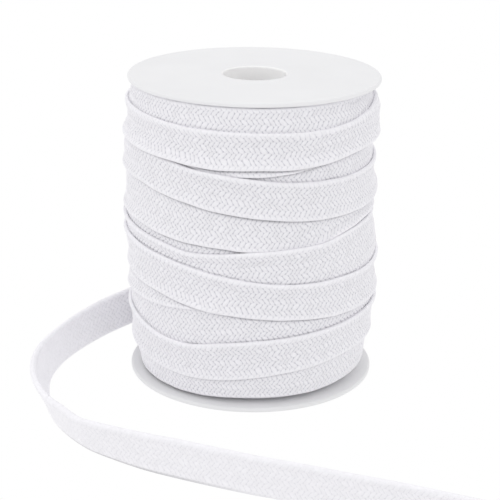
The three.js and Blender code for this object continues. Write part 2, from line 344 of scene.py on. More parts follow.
# A wrap is drawn tight over what lies below it. It bridges gaps of this reach across it, and of this
# many grid angles along it. It is then smoothed over that reach and the last number of angles.
DRAPE_REACH = 1.0 * MM
DRAPE_ANGLES = 5
SMOOTHED_ANGLES = 7
# The grid across it counts as no finer than this. Smoothing ends at this many times its size.
LEAST_SPACING = 0.1 * MM
BELL_REACH = 2.5
# Where later wraps lie on it, a wrap is pressed to this share of its thickness, this far inside them.
PRESSED_SHARE = 0.3
PRESSED_REACH = 1.6 * MM
# The middle of a wrap stays this high at its rounded edges, as a share of its greatest height.
ROUND_EDGE_LIFT = 0.8
# The wraps waver: the fewest and the most waves around the roll, and their size, for a wrap's edges and
# for how far out it stands. Quicker waves are smaller by this power.
EDGE_WAVES = (4, 30, 0.12 * MM)
SURFACE_WAVES = (3, 24, 0.06 * MM)
QUICK_WAVES_POWER = 0.7

# How far the floor goes to each side, in metres, and how bright it is.
FLOOR_REACH = 4
FLOOR_GLOW = 1.0
# How bright the surroundings are at each height, from straight down at -1 to straight up at 1.
SURROUNDINGS = [(-1.0, 0.97), (-0.05, 0.95), (0.05, 0.80), (0.5, 0.94), (1.0, 1.08)]
# Soft square lights, aimed at the roll: where each hangs, its side, and its power in watts.
SOFT_LIGHTS = [
    ("right", (0.9, -0.8, 0.7), 0.8, 1.0),
    ("left", (-1.2, -0.4, 0.6), 0.8, 1.8),
]
AIM = Vector((0, 0, 0.05))


def curve_through(points, steps_per_span):
    """Points on the centripetal Catmull-Rom curve through these points."""
    points = np.asarray(points, float)
    padded = np.vstack([2 * points[0] - points[1], points, 2 * points[-1] - points[-2]])
    found = []
    for a, b, c, d in zip(padded, padded[1:], padded[2:], padded[3:]):
        t0, t1 = 0.0, math.sqrt(np.linalg.norm(b - a))
        t2 = t1 + math.sqrt(np.linalg.norm(c - b))
        t3 = t2 + math.sqrt(np.linalg.norm(d - c))
        t = np.linspace(t1, t2, steps_per_span, endpoint=False)[:, None]
        ab = (t1 - t) / (t1 - t0) * a + (t - t0) / (t1 - t0) * b
        bc = (t2 - t) / (t2 - t1) * b + (t - t1) / (t2 - t1) * c
        cd = (t3 - t) / (t3 - t2) * c + (t - t2) / (t3 - t2) * d
        abc = (t2 - t) / (t2 - t0) * ab + (t - t0) / (t2 - t0) * bc
        bcd = (t3 - t) / (t3 - t1) * bc + (t - t1) / (t3 - t1) * cd
        found.append((t2 - t) / (t2 - t1) * abc + (t - t1) / (t2 - t1) * bcd)
    found.append(points[-1:])
    return np.vstack(found)


def distances(points):
    """How far along the line each of its points lies."""
    steps = np.linalg.norm(np.diff(points, axis=0), axis=1)
    return np.concatenate([[0], np.cumsum(steps)])


def unit(vectors):
    """The same directions, each with a length of 1."""
    return vectors / np.maximum(np.linalg.norm(vectors, axis=-1, keepdims=True), 1e-12)


def smooth_step(values, start, end):
    """0 up to the start, 1 from the end on, and a smooth rise between them."""
    share = np.clip((values - start) / (end - start), 0, 1)
    return share * share * (3 - 2 * share)


def smooth_curve(known, values, at):
    """The smooth curve through the values at the known places, read at other places."""
    slopes = np.gradient(values, known)
    k = np.clip(np.searchsorted(known, at, side="right") - 1, 0, len(known) - 2)
    span = known[k + 1] - known[k]
    t = (at - known[k]) / span
    start = (1 + 2 * t) * (1 - t) ** 2 * values[k] + t * (1 - t) ** 2 * span * slopes[k]
    end = t ** 2 * (3 - 2 * t) * values[k + 1] + t ** 2 * (t - 1) * span * slopes[k + 1]
    return start + end


def closed_curve(values, angles):
    """The smooth curve all the way around the axis, through the values at EDGE_ANGLES."""
    known = np.array(EDGE_ANGLES, float)
    known = np.concatenate([known - 360, known, known + 360])
    turned = (np.asarray(angles, float) + 180) % 360 - 180
    return smooth_curve(known, np.tile(np.asarray(values, float), 3), turned)


def add_camera():
    data = bpy.data.cameras.new("camera")
    data.lens = CAMERA_LENS
    data.sensor_width = CAMERA_SENSOR
    camera = bpy.data.objects.new("camera", data)
    bpy.context.scene.collection.objects.link(camera)
    tilt = Matrix.Rotation(math.radians(90 - CAMERA_DOWN_DEGREES), 4, "X")
    roll = Matrix.Rotation(math.radians(CAMERA_ROLL_DEGREES), 4, "Z")
    camera.matrix_world = Matrix.Translation(CAMERA_PLACE) @ tilt @ roll
    bpy.context.scene.camera = camera


def braid_height(along, around):
    """The braid's relief, from 0 between strands to 1 on top of one, at places given in repeats."""
    p, q = along + around, along - around
    i, j = np.floor(p), np.floor(q)
    strand_p = np.cos(np.pi * (q - j - 0.5)) ** STRAND_ROUNDNESS
    strand_q = np.cos(np.pi * (p - i - 0.5)) ** STRAND_ROUNDNESS
    over = STRANDS_PASSED
    crimp_p = np.cos(np.pi * (p - j - over / 2) / over)
    crimp_q = np.cos(np.pi * (i - q - (3 * over - 2) / 2) / over)
    fat_p = STRAND_FATNESS[0, j.astype(int) % REPEATS_AROUND]
    fat_q = STRAND_FATNESS[1, i.astype(int) % REPEATS_AROUND]
    height_p = strand_p * fat_p + STRAND_CRIMP * crimp_p
    height_q = strand_q * fat_q + STRAND_CRIMP * crimp_q
    return np.maximum(height_p, height_q) / (1 + STRAND_CRIMP)


def pushed(along, around):
    """Places in the braid, in repeats, shifted a little by the strands' unevenness."""
    shift_along, shift_around = np.zeros_like(along + around), np.zeros_like(along + around)
    for number, slant, size_along, size_around in PUSHES:
        turn = 2 * math.pi * (along * number / REPEATS_AROUND + around * slant)
        wave = np.sin(turn + PUSH_PHASE_PER_SLANT * slant)
        shift_along += PUSH_SIZE * size_along * wave
        shift_around += PUSH_SIZE * size_around * wave
    return along + shift_along, around + shift_around


def mesh_object(name, points, faces, uv, material, **shades):
    """A smooth piece from a grid of points. uv holds a place in braid repeats for each face corner, and
    each shade a value for each point that sets painted shade: how open the braid is, or how deep the
    point lies in a crease or in the painted shade along the loose end's lower edge."""
    mesh = bpy.data.meshes.new(name)
    mesh.vertices.add(len(points))
    mesh.vertices.foreach_set("co", np.asarray(points, np.float32).ravel())
    mesh.loops.add(faces.size)
    mesh.loops.foreach_set("vertex_index", faces.astype(np.int32).ravel())
    mesh.polygons.add(len(faces))
    mesh.polygons.foreach_set("loop_start", np.arange(0, faces.size, faces.shape[1], dtype=np.int32))
    mesh.update(calc_edges=True)
    mesh.polygons.foreach_set("use_smooth", np.ones(len(faces), bool))
    layer = mesh.uv_layers.new(name="braid")
    layer.uv.foreach_set("vector", np.asarray(uv, np.float32).ravel())
    for shade, values in shades.items():
        attribute = mesh.attributes.new(shade, "FLOAT", "POINT")
        attribute.data.foreach_set("value", np.asarray(values, np.float32).ravel())
    mesh.materials.append(material)
    piece = bpy.data.objects.new(name, mesh)
    bpy.context.scene.collection.objects.link(piece)
    return piece


def ring_faces(rings, per_ring, closed):
    """Quads between neighbouring rings, with the ring and the place on it of each corner."""
    i, j = np.meshgrid(np.arange(rings if closed else rings - 1), np.arange(per_ring), indexing="ij")
    ring = np.stack([i, i, i + 1, i + 1], axis=-1).reshape(-1, 4)
    place = np.stack([j, j + 1, j + 1, j], axis=-1).reshape(-1, 4)
    return ring, place


def cord_thickness(place, rim):
    """The cord's thickness across it. It is fattest in the folds of its two edges."""
    body = BODY_SHARE * rim
    found = np.broadcast_to(body, place.shape).copy()
    fold = rim * FOLD_SHARE
    for distance in (place, place[:, -1:] - place):
        found += (rim - body) * (1 - smooth_step(distance, fold, fold + FOLD_FADE))
    for distance in (place, place[:, -1:] - place):
        round_part = np.clip(rim / 2 - distance, 0, rim / 2)
        found *= np.sqrt(np.clip(1 - (round_part / (rim / 2)) ** 2, 0, 1))
    return found


def tube(name, spine, face, thickness, along, from_edge, slackness, bitten, material, closed,
         lies_flat):
    """A flattened braided tube. spine holds its middle surface from edge to edge in each ring, face the
    directions out of it, and thickness the tube's own. The braid is placed by the distances along the
    cord and from an edge, and is as open as slackness says, which also sets its painted shade. The
    crease shade says how deep its creases are, and how much painted shade lies in them and along its
    lower edge."""
    rings, columns = spine.shape[:2]
    across = np.linalg.norm(np.diff(spine, axis=1), axis=2)
    place = np.concatenate([np.zeros((rings, 1)), np.cumsum(across, axis=1)], axis=1)
    to_edge = np.minimum(place, place[:, -1:] - place)
    slackness = np.broadcast_to(slackness, rings)[:, None]
    front_open = slackness * (RIM_OPENNESS + (1 - RIM_OPENNESS) * smooth_step(to_edge, *RIM_OPENS))
    back_columns = np.arange(columns - 2, 0, -FLAT_BACK_STEP if lies_flat else -1)
    back_open = front_open[:, back_columns]
    front_v = from_edge / REPEAT_ACROSS
    v = np.concatenate([front_v, REPEATS_AROUND_CORD - front_v[:, back_columns]], axis=1)
    u, v = pushed(along[:, None] / REPEAT_ALONG, v)
    relief = BRAID_RELIEF * (braid_height(u, v) - BRAID_MIDDLE)
    front = spine + face * (thickness / 2 + front_open * relief[:, :columns])[:, :, None]
    depth = thickness[:, back_columns] / 2
    if not lies_flat:
        depth = depth + back_open * relief[:, columns:]
    back = spine[:, back_columns] - face[:, back_columns] * depth[:, :, None]
    points = np.concatenate([front, back], axis=1)
    per_ring = points.shape[1]
    ring, spot = ring_faces(rings, per_ring, closed)
    ring_here, spot_here = ring % rings, spot % per_ring
    faces = ring_here * per_ring + spot_here
    # The braid goes on in whole repeats where the grid comes back to its start.
    repeats_along = np.where(ring == rings, along.size * (along[1] - along[0]) / REPEAT_ALONG, 0)
    repeats_around = np.where(spot == per_ring, REPEATS_AROUND_CORD, 0)
    uv = np.stack([u[ring_here, spot_here] + repeats_along, v[ring_here, spot_here] + repeats_around],
                  axis=-1)
    piece = mesh_object(name, points.reshape(-1, 3), faces[:, ::-1], uv[:, ::-1], material,
                        openness=np.concatenate([front_open, back_open], axis=1),
                        bitten=np.concatenate([bitten, np.zeros_like(back_open)], axis=1))
    if not closed:
        close_ends(piece, rings, per_ring)
    return piece


def close_ends(piece, rings, per_ring):
    """Closes both ends of a tube, cut straight across."""
    work = bmesh.new()
    work.from_mesh(piece.data)
    work.verts.ensure_lookup_table()
    for first in (0, (rings - 1) * per_ring):
        rim = [work.verts[first + k] for k in range(per_ring)]
        edges = [work.edges.get((a, b)) for a, b in zip(rim, rim[1:] + rim[:1])]
        bmesh.ops.triangle_fill(work, use_beauty=True, edges=edges)
    bmesh.ops.recalc_face_normals(work, faces=work.faces)
    work.to_mesh(piece.data)
    work.free()


def column_places(width, rim):
    """Distances from the lower edge to each column, closer together around the rounded edges."""
    count = 2 + int(round(width.max() / REPEAT_ACROSS * SAMPLES_PER_REPEAT))
    half = np.minimum(rim / 2, width / 4)[:, None]
    bend = (1 - np.cos(np.radians(EDGE_BEND_DEGREES))) * half
    middle = np.linspace(0, 1, count) * (width[:, None] - 2 * half) + half
    return np.concatenate([bend, middle, width[:, None] - bend[:, ::-1]], axis=1)


def finish_piece(piece, slot, *replaced):
    """The piece stands for these solids. Nothing in it moves by itself."""
    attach(piece, "root")
    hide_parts(*replaced)


def add_loose_end(material):
    """The end that comes off the roll. Returns its start, and the directions across and out of it."""
    rows = np.array(LOOSE_END_ROUTE, float)
    line = curve_through(rows[:, :3], STEPS_PER_ROW)
    far = distances(line)
    count = int(round(far[-1] / STEP_ALONG))
    along = np.linspace(0, far[-1], count + 1)
    feet = np.stack([np.interp(along, far, line[:, k]) for k in range(3)], axis=1)
    lean = np.radians(np.interp(along, far[::STEPS_PER_ROW], rows[:, 3]))
    heading = unit(np.gradient(feet, axis=0))
    outward = unit(np.cross(heading, (0, 0, 1)))
    upright = unit(np.cross(outward, heading))
    cos, sin = np.cos(lean)[:, None], np.sin(lean)[:, None]
    across = upright * cos + outward * sin
    face = outward * cos - upright * sin
    width = np.full(count + 1, CORD_WIDTH)
    swollen = smooth_step(along, 0, SWELLS_OVER)
    rim = WOUND_THICKNESS + (CORD_THICKNESS - WOUND_THICKNESS) * swollen
    place = column_places(width, rim)
    spine = feet[:, None] + across[:, None] * place[:, :, None]
    faces = np.broadcast_to(face[:, None], spine.shape)
    thickness = cord_thickness(place, rim[:, None])
    # Painted shade along the lower edge, where it lies on the floor in front of the roll.
    edge_shade = smooth_step(along, *EDGE_SHADE_COMES) * (1 - smooth_step(along, *EDGE_SHADE_GOES))
    bitten = edge_shade[:, None] * (1 - smooth_step(place, *EDGE_SHADE_FADES))
    slackness = np.interp(along, *zip(*LOOSE_OPENNESS))
    piece = tube("loose_cord", spine, faces, thickness, along, place, slackness, bitten, material,
                 closed=False, lies_flat=False)
    finish_piece(piece, "cotton_braid", "loose_end")
    centre = feet + across * CORD_WIDTH / 2
    tuple(centre[0])
    [tuple(p) for p in centre]
    return feet[0], across[0], face[0]


def winding_radius(heights, angles):
    """The winding's radius at these heights and angles. It isn't quite round."""
    profile = np.array(WINDING_PROFILE) * MM
    left, middle, right = (np.interp(heights, profile[:, 0], column) for column in profile[:, 1:].T)
    side = np.sin(np.radians(angles))
    left_share, right_share = np.maximum(-side, 0) ** 2, np.maximum(side, 0) ** 2
    return middle + (left - middle) * left_share + (right - middle) * right_share


def waves(lowest, highest, size):
    """A gentle unevenness that closes around the roll, made of these numbers of waves."""
    turn = np.linspace(0, 2 * np.pi, ANGLES_AROUND, endpoint=False)
    found = np.zeros(ANGLES_AROUND)
    for number in range(lowest, highest + 1):
        wave = np.cos(number * turn + random.uniform(0, 2 * np.pi))
        found += wave * random.normal() / number ** QUICK_WAVES_POWER
    return size * found / np.abs(found).max()


def shifted(grid, step, axis, closed):
    """The grid moved by a step. A closed one goes around, and another one keeps its last values."""
    if closed:
        return np.roll(grid, step, axis)
    index = np.clip(np.arange(grid.shape[axis]) - step, 0, grid.shape[axis] - 1)
    return np.take(grid, index, axis)


def highest_near(grid, reach, axis, closed):
    """The highest value within this reach of each place."""
    return np.maximum.reduce([shifted(grid, step, axis, closed) for step in range(-reach, reach + 1)])


def blurred(grid, size, axis, closed):
    """The grid smoothed along one axis with a bell of this size."""
    reach = int(math.ceil(BELL_REACH * size))
    steps = np.arange(-reach, reach + 1)
    weights = np.exp(-0.5 * (steps / size) ** 2)
    weights = weights / weights.sum()
    return sum(w * shifted(grid, int(step), axis, closed) for w, step in zip(weights, steps))


def new_material(name):
    material = bpy.data.materials.new(name)
    material.use_nodes = True
    tree = material.node_tree
    shader = tree.nodes["Principled BSDF"]
    return material, tree, shader


def math_node(tree, operation, a, b=None):
    """Each of a and b is a number or what another node gives."""
    node = tree.nodes.new("ShaderNodeMath")
    node.operation = operation
    for socket, value in zip(node.inputs, (a, b)):
        if value is None:
            continue
        if isinstance(value, (int, float)):
            socket.default_value = value
        else:
            tree.links.new(value, socket)
    return node.outputs[0]


def noise_node(tree, vector, scale, detail=2.0):
    node = tree.nodes.new("ShaderNodeTexNoise")
    node.inputs["Scale"].default_value = scale
    node.inputs["Detail"].default_value = detail
    tree.links.new(vector, node.inputs["Vector"])
    return node.outputs["Fac"]


def ramp_node(tree, value, low, high, low_colour, high_colour):
    node = tree.nodes.new("ShaderNodeValToRGB")
    node.color_ramp.elements[0].position = low
    node.color_ramp.elements[0].color = (*low_colour, 1)
    node.color_ramp.elements[1].position = high
    node.color_ramp.elements[1].color = (*high_colour, 1)
    tree.links.new(value, node.inputs["Fac"])
    return node.outputs["Color"]


def bump_node(tree, height, distance, strength):
    node = tree.nodes.new("ShaderNodeBump")
    node.inputs["Distance"].default_value = distance
    node.inputs["Strength"].default_value = strength
    tree.links.new(height, node.inputs["Height"])
    return node.outputs["Normal"]


def smooth_range_node(tree, value, low, high):
    """0 below the low value, 1 above the high one, and a smooth rise between them."""
    node = tree.nodes.new("ShaderNodeMapRange")
    node.interpolation_type = "SMOOTHSTEP"
    node.inputs["From Min"].default_value = low
    node.inputs["From Max"].default_value = high
    tree.links.new(value, node.inputs["Value"])
    return node.outputs[0]


def vector_node(tree, operation, vector):
    node = tree.nodes.new("ShaderNodeVectorMath")
    node.operation = operation
    tree.links.new(vector, node.inputs[0])
    return node


def attribute_node(tree, name):
    node = tree.nodes.new("ShaderNodeAttribute")
    node.attribute_name = name
    return node.outputs["Fac"]


def cosine_of_half_turns(tree, value, turns=1.0):
    return math_node(tree, "COSINE", math_node(tree, "MULTIPLY", value, math.pi * turns))


def braid_nodes(tree, u, v):
    """Much the same braid as braid_height gives, for the surface: its height, and the place across the
    strand that is on top."""
    p, q = math_node(tree, "ADD", u, v), math_node(tree, "SUBTRACT", u, v)
    i, j = math_node(tree, "FLOOR", p), math_node(tree, "FLOOR", q)
    across_p = math_node(tree, "SUBTRACT", math_node(tree, "SUBTRACT", q, j), 0.5)
    across_q = math_node(tree, "SUBTRACT", math_node(tree, "SUBTRACT", p, i), 0.5)
    over = STRANDS_PASSED
    from_p = math_node(tree, "SUBTRACT", math_node(tree, "SUBTRACT", p, j), over / 2)
    from_q = math_node(tree, "SUBTRACT", math_node(tree, "SUBTRACT", i, q), (3 * over - 2) / 2)
    heights = []
    for across, along in ((across_p, from_p), (across_q, from_q)):
        strand = cosine_of_half_turns(tree, across)
        crimp = math_node(tree, "MULTIPLY", cosine_of_half_turns(tree, along, 1 / over), STRAND_CRIMP)
        heights.append(math_node(tree, "ADD", strand, crimp))
    height = math_node(tree, "MAXIMUM", *heights)
    p_on_top = math_node(tree, "GREATER_THAN", *heights)
    q_on_top = math_node(tree, "SUBTRACT", 1.0, p_on_top)
    across = math_node(tree, "ADD", math_node(tree, "MULTIPLY", across_p, p_on_top),
                       math_node(tree, "MULTIPLY", across_q, q_on_top))
    return math_node(tree, "DIVIDE", height, 1 + STRAND_CRIMP), across


def cotton_material():
    """Bluish white cotton, with painted shade between the strands, on the open braid's body, in the
    creases beside other wraps and along the loose end's lower edge.
    """
    material, tree, shader = new_material("cotton_braid")
    places = tree.nodes.new("ShaderNodeUVMap")
    places.uv_map = "braid"
    split = tree.nodes.new("ShaderNodeSeparateXYZ")
    tree.links.new(places.outputs["UV"], split.inputs[0])
    height, across = braid_nodes(tree, split.outputs["X"], split.outputs["Y"])
    openness, bitten = attribute_node(tree, "openness"), attribute_node(tree, "bitten")
    at = tree.nodes.new("ShaderNodeTexCoord").outputs["Object"]
    fibres = noise_node(tree, at, FIBRE_FINENESS, detail=3)
    specks = noise_node(tree, at, SPECK_FINENESS)
    mottle = noise_node(tree, at, MOTTLE_FINENESS)
    yarns = cosine_of_half_turns(tree, across, 2 * YARNS_IN_STRAND)
    fine = math_node(tree, "ADD", math_node(tree, "MULTIPLY", yarns, YARN_BUMP), fibres)
    open_height = math_node(tree, "MULTIPLY", height, openness)
    bumps = math_node(tree, "ADD", fine, math_node(tree, "MULTIPLY", open_height, STRAND_BUMP))
    tree.links.new(bump_node(tree, bumps, COTTON_BUMP, COTTON_BUMP_STRENGTH), shader.inputs["Normal"])
    # Painted shade between the strands, as deep as the braid is open.
    lightness = smooth_range_node(tree, height, *DEEP_AND_LIGHT_HEIGHTS)
    depth = math_node(tree, "MULTIPLY", math_node(tree, "SUBTRACT", 1.0, lightness), openness)
    uneven = math_node(tree, "ADD", DEPTH_SHADE, math_node(tree, "MULTIPLY", specks, SHADE_SPREAD))
    shade = math_node(tree, "MULTIPLY", depth, uneven)
    colour = ramp_node(tree, shade, 0.0, 1.0, COTTON_LIGHT, COTTON_DEEP_SHADE)
    whiteness = math_node(tree, "ADD", 1 - MOTTLE / 2, math_node(tree, "MULTIPLY", mottle, MOTTLE))
    # Painted shade: on the open braid's body, in creases, and along the loose end's lower edge.
    for dimming, share in ((openness, BODY_SHADE), (bitten, BITE_SHADE)):
        whiteness = math_node(tree, "SUBTRACT", whiteness, math_node(tree, "MULTIPLY", dimming, share))
    dimmed = vector_node(tree, "SCALE", colour)
    tree.links.new(whiteness, dimmed.inputs["Scale"])
    tree.links.new(dimmed.outputs[0], shader.inputs["Base Color"])
    shader.inputs["Roughness"].default_value = 0.9
    shader.inputs["Sheen Weight"].default_value = 0.15
    shader.inputs["Sheen Roughness"].default_value = 0.6
    shader.inputs["Specular IOR Level"].default_value = 0.2
    return material


def plastic_material(name, dull, clean):
    """White moulded plastic, between its dull and its clean colour, with painted light on the bore's
    wall.
    """
    material, tree, shader = new_material(name)
    at = tree.nodes.new("ShaderNodeTexCoord").outputs["Object"]
    grain = noise_node(tree, at, GRAIN_FINENESS, detail=3)
    flow = noise_node(tree, at, FLOW_FINENESS)
    level = vector_node(tree, "MULTIPLY", at)
    level.inputs[1].default_value = (1, 1, 0)
    from_axis = vector_node(tree, "LENGTH", level.outputs[0]).outputs["Value"]
    # Painted light: a lighter colour on the bore's wall, near the axis.
    colour = tree.nodes.new("ShaderNodeMix")
    colour.data_type = "RGBA"
    colour.inputs["A"].default_value = (*BORE_PAINTED_LIGHT, 1)
    tree.links.new(ramp_node(tree, flow, *FLOW_RANGE, dull, clean), colour.inputs["B"])
    tree.links.new(smooth_range_node(tree, from_axis, *BORE_PAINTED_LIGHT_FADES), colour.inputs["Factor"])
    tree.links.new(colour.outputs["Result"], shader.inputs["Base Color"])
    rougher = math_node(tree, "MULTIPLY", grain, ROUGHNESS_SPREAD)
    tree.links.new(math_node(tree, "ADD", PLASTIC_ROUGHNESS, rougher), shader.inputs["Roughness"])
    tree.links.new(bump_node(tree, grain, GRAIN_BUMP, GRAIN_BUMP_STRENGTH), shader.inputs["Normal"])
    shader.inputs["Specular IOR Level"].default_value = 0.35
    return material


def places_between(low, high):
    """The distance from the lower edge, and the height, of each point across a wrap."""
    place = column_places(high - low, np.full(len(low), WOUND_THICKNESS))
    return place, low[:, None] + place


def pressed(z, covers):
    """The share of its thickness that a wrap keeps where later wraps lie on it, and how deep in the
    crease beside such a wrap's edge each place is. That depth also sets the painted shade in the
    crease."""
    share = np.ones_like(z)
    bitten = np.zeros_like(z)
    for low, high, low_bite, high_bite in covers:
        above, below = z - low[:, None], high[:, None] - z
        inside = np.minimum(above, below)
        share = np.minimum(share, 1 - (1 - PRESSED_SHARE) * smooth_step(inside, 0, PRESSED_REACH))
        under_it = low_bite[:, None] * (1 - smooth_step(-above, BITE_BELOW, BITE_BELOW + BITE_FADE))
        over_it = high_bite[:, None] * (1 - smooth_step(-below, BITE_ABOVE, BITE_ABOVE + BITE_FADE))
        bitten = np.maximum(bitten, np.where(above < 0, under_it, np.where(below < 0, over_it, 0)))
    return share * (1 - BITE_DEPTH * bitten), bitten


def middle_surface(angles, z, support, thickness, closed):
    """The middle of a wrap's thickness, and the directions out of it."""
    radius = winding_radius(z, angles[:, None]) - INNER_LAYERS_DEPTH + support
    radius = radius + thickness.clip(min=thickness.max(axis=1, keepdims=True) * ROUND_EDGE_LIFT) / 2
    turn = np.radians(angles)[:, None]
    spine = np.stack([radius * np.sin(turn), -radius * np.cos(turn), z], axis=-1)
    across = np.gradient(spine, axis=1)
    around_it = np.roll(spine, -1, 0) - np.roll(spine, 1, 0) if closed else np.gradient(spine, axis=0)
    return spine, unit(np.cross(around_it, across))


class Winding:
    """The roll's surface as it grows, wrap by wrap: how far it stands out at each height and angle."""

    def __init__(self, material):
        self.material = material
        self.angles = np.arange(ANGLES_AROUND) * 360 / ANGLES_AROUND - 180
        self.heights = np.arange(0, GRID_TOP, HEIGHT_STEP)
        self.out = np.zeros((ANGLES_AROUND, len(self.heights)))

    def edge(self, name):
        """The height of a wrap's edge, at each angle."""
        return closed_curve(EDGE_HEIGHTS[name], self.angles) * MM

    def bite(self, name):
        """How deep a wrap's edge bites, at each angle. An edge without a name doesn't."""
        return closed_curve(EDGE_BITES[name], self.angles) if name else np.zeros(ANGLES_AROUND)

    def under(self, columns, z):
        """How far out the roll stands now, at these angle columns and heights."""
        return np.stack([np.interp(row, self.heights, self.out[c % ANGLES_AROUND])
                         for c, row in zip(columns, z)])

    def add_to_surface(self, columns, z, out):
        """Raises the surface to this cord, wherever it stands out further."""
        for c, row, top in zip(columns, z, out):
            covered = (self.heights >= row[0]) & (self.heights <= row[-1])
            surface = self.out[c % ANGLES_AROUND]
            surface[covered] = np.maximum(surface[covered], np.interp(self.heights[covered], row, top))

    def drape(self, columns, z, closed):
        """How far out the back of a wrap lies when it is drawn tight over what is below it."""
        spacing = max(float(np.diff(z, axis=1).mean()), LEAST_SPACING)
        support = self.under(columns, z)
        support = highest_near(support, int(round(DRAPE_REACH / spacing)), 1, False)
        support = highest_near(support, DRAPE_ANGLES, 0, closed)
        support = blurred(support, DRAPE_REACH / spacing, 1, False)
        return blurred(support, SMOOTHED_ANGLES, 0, closed)

    def wrap(self, name, low, high, covers):
        """A closed turn of cord between the heights of its edges, under the wraps that cover it."""
        columns = np.arange(ANGLES_AROUND)
        low = low + waves(*EDGE_WAVES)
        high = high + waves(*EDGE_WAVES)
        place, z = places_between(low, high)
        support = self.drape(columns, z, True)
        support = support + waves(*SURFACE_WAVES)[:, None]
        share, bitten = pressed(z, covers)
        thickness = cord_thickness(place, WOUND_THICKNESS) * share
        self.add_to_surface(columns, z, support + thickness)
        from_edge = place[:, -1:] - place if name in UPPER_EDGE_SHOWS else place
        from_edge = from_edge + random.integers(0, 2 * STRANDS_PASSED) * REPEAT_ACROSS
        along = (columns + SAMPLES_PER_REPEAT * random.integers(0, BRAID_STARTS)) * STEP_ALONG
        spine, face = middle_surface(self.angles, z, support, thickness, True)
        piece = tube(name, spine, face, thickness, along, from_edge, 1.0, bitten, self.material,
                     closed=True, lies_flat=True)
        finish_piece(piece, "cotton_braid", "wound_cord")

    def last_wrap(self, name, end_foot, end_across, end_face):
        """The outermost wrap, whose end lifts off the winding and goes on as the loose end."""
        rows = np.array(LAST_WRAP_ROUTE, float)
        spacing = 360 / ANGLES_AROUND
        first, last = int(round(rows[0, 0] / spacing)), int(round(rows[-1, 0] / spacing))
        numbers = np.arange(first, last + 1)
        columns = numbers + ANGLES_AROUND // 2
        angles = numbers * spacing
        low, high = (smooth_curve(rows[:, 0], rows[:, k], angles) * MM for k in (1, 2))
        place, z = places_between(low, high)
        thickness = cord_thickness(place, WOUND_THICKNESS)
        first_time_round = self.drape(columns, z, False)
        early = angles < OVER_ITSELF_FROM - START_MARGIN
        self.add_to_surface(columns[early], z[early], first_time_round[early] + thickness[early])
        second_time_round = self.drape(columns, z, False)
        blend = smooth_step(angles, OVER_ITSELF_FROM, OVER_ITSELF_FROM + CLIMBS_WITHIN)[:, None]
        support = first_time_round * (1 - blend) + second_time_round * blend
        spine, face = middle_surface(angles, z, support, thickness, False)
        lifted = smooth_step(angles, LAST_WRAP_LIFTS_OFF, angles[-1])[:, None, None]
        offset = end_foot + end_across * place[-1][:, None] - spine[-1]
        turned = unit(face + lifted * (end_face - face[-1]))
        spine = spine + lifted * offset
        along = np.arange(len(angles)) * STEP_ALONG
        along = along - along[-1]
        piece = tube(name, spine, turned, thickness, along, place, 1.0, np.zeros_like(place),
                     self.material, closed=False, lies_flat=True)
        finish_piece(piece, "cotton_braid", "wound_cord")


def add_inner_layers(material):
    """The layers below, as one solid. Its surface shows only between the wraps."""
    heights = np.array(INNER_LAYERS_HEIGHTS) * MM
    radius = np.minimum(winding_radius(heights, -90), winding_radius(heights, 90)) - INNER_LAYERS_DEPTH
    radius[0] -= INNER_LAYERS_FOOT
    outline = np.concatenate([radius, [INNER_LAYERS_BORE, INNER_LAYERS_BORE]])
    z = np.concatenate([heights, [heights[-1], heights[0]]])
    piece = lathe("inner_layers", outline, z, INNER_LAYERS_SEGMENTS, material)
    finish_piece(piece, "cotton_braid", "wound_cord")


def lathe(name, radius, z, segments, material):
    """A solid turned about the axis from a closed outline, listed anticlockwise."""
    turn = np.radians(np.arange(segments) * 360 / segments)[:, None]
    points = np.stack([radius * np.sin(turn), -radius * np.cos(turn),
                       np.broadcast_to(z, (segments, len(z)))], axis=-1)
    ring, spot = ring_faces(segments, len(z), True)
    faces = (ring % segments) * len(z) + spot % len(z)
    outline = np.stack([radius, z], axis=1)
    place = distances(np.vstack([outline, outline[:1]])) / REPEAT_ACROSS
    uv = np.stack([ring * (REPEATS_AROUND / segments), place[spot]], axis=-1)
    return mesh_object(name, points.reshape(-1, 3), faces[:, ::-1], uv[:, ::-1], material)


def add_winding(material, leaving):
    """The wraps in the order in which they are wound, the last one to the loose end, and the layers
    below them."""
    winding = Winding(material)
    edge, bite = winding.edge, winding.bite
    wraps = [
        ("wrap_bottom", edge("roll_bottom"), edge("last_lower") + TUCK),
        ("wrap_second", edge("last_upper") - TUCK,
         np.minimum(edge("third_lower"), edge("second_edge")) + TUCK),
        ("wrap_top", edge("eighth_upper") - TUCK, edge("roll_top")),
        ("wrap_under_eighth", edge("sixth_upper") - TUCK, edge("eighth_lower") + TUCK),
        ("wrap_under_third", edge("second_edge"), edge("third_lower") + TUCK),
        ("wrap_under_fifth", edge("fourth_rim") - TUCK, edge("fifth_lower") + TUCK),
        ("wrap_fifth", edge("fifth_lower"), edge("sixth_lower") + TUCK),
        ("wrap_fourth", edge("third_upper") - TUCK, edge("fourth_rim")),
        ("wrap_third", edge("third_lower"), edge("third_upper")),
        ("wrap_seventh", edge("seventh_edge"), edge("eighth_lower") + TUCK),
        ("wrap_sixth", edge("sixth_lower"), edge("sixth_upper")),
        ("wrap_eighth", edge("eighth_lower"), edge("eighth_upper")),
        ("wrap_last", edge("last_lower"), edge("last_upper")),
    ]
    # A wrap is covered by each one that is wound after it.
    covers = []
    for name, low, high in wraps:
        low_bites, high_bites = BITING_EDGES.get(name, (None, None))
        covers.append((low, np.maximum(high, low + LEAST_WIDTH), bite(low_bites), bite(high_bites)))
    for number, (name, _, _) in enumerate(wraps[:-1]):
        low, high = covers[number][:2]
        winding.wrap(name, low, high, covers[number + 1:])
    winding.last_wrap("wrap_last", *leaving)
    add_inner_layers(material)


